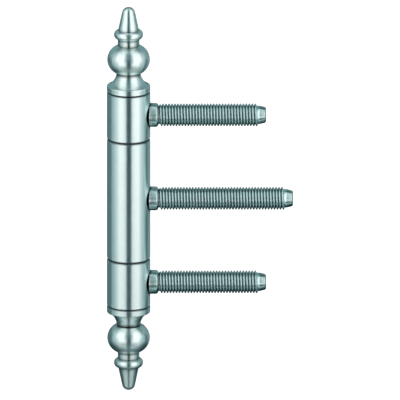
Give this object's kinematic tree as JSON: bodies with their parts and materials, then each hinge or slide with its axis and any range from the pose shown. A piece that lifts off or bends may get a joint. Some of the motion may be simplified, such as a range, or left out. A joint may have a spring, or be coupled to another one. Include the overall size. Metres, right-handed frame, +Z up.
{
  "type": "drill-in hinge",
  "caption": "Drill-in door hinge: turned knuckles on one pin, each with a threaded stud for a drilled hole, and a turned finial at each end.",
  "frame": {"origin": "on the lower stud's axis, where its thread begins beside the collar", "axes": "+X out along the studs, +Z up along the hinge pin, +Y away from the viewer of the picture"},
  "size_m": [0.0643, 0.015, 0.1376],
  "materials": {
    "knuckle_steel": "satin nickel plate, turned",
    "stud_steel": "bright zinc plate, threaded",
    "bush_plastic": "matte grey bearing plastic",
    "pin_steel": "ground",
    "finial_steel": "satin nickel plate, turned"
  },
  "bodies": {
    "frame_part": {"lower_knuckle": "knuckle_steel", "lower_stud": "stud_steel", "hinge_pin": "pin_steel", "upper_finial": "finial_steel", "lower_finial": "finial_steel"},
    "leaf_part": {"middle_knuckle": "knuckle_steel", "middle_stud": "stud_steel", "upper_bush": "bush_plastic", "lower_bush": "bush_plastic"},
    "upper_frame_part": {"upper_knuckle": "knuckle_steel", "upper_stud": "stud_steel"}
  },
  "joints": [
    {"name": "leaf_turn", "type": "hinge", "parent": "frame_part", "child": "leaf_part", "pos_m": [-0.01067, 0, 0.03], "axis": [0, 0, 1], "continuous": true},
    {"name": "upper_knuckle_turn", "type": "hinge", "parent": "frame_part", "child": "upper_frame_part", "pos_m": [-0.01067, 0, 0.06], "axis": [0, 0, 1], "continuous": true}
  ]
}
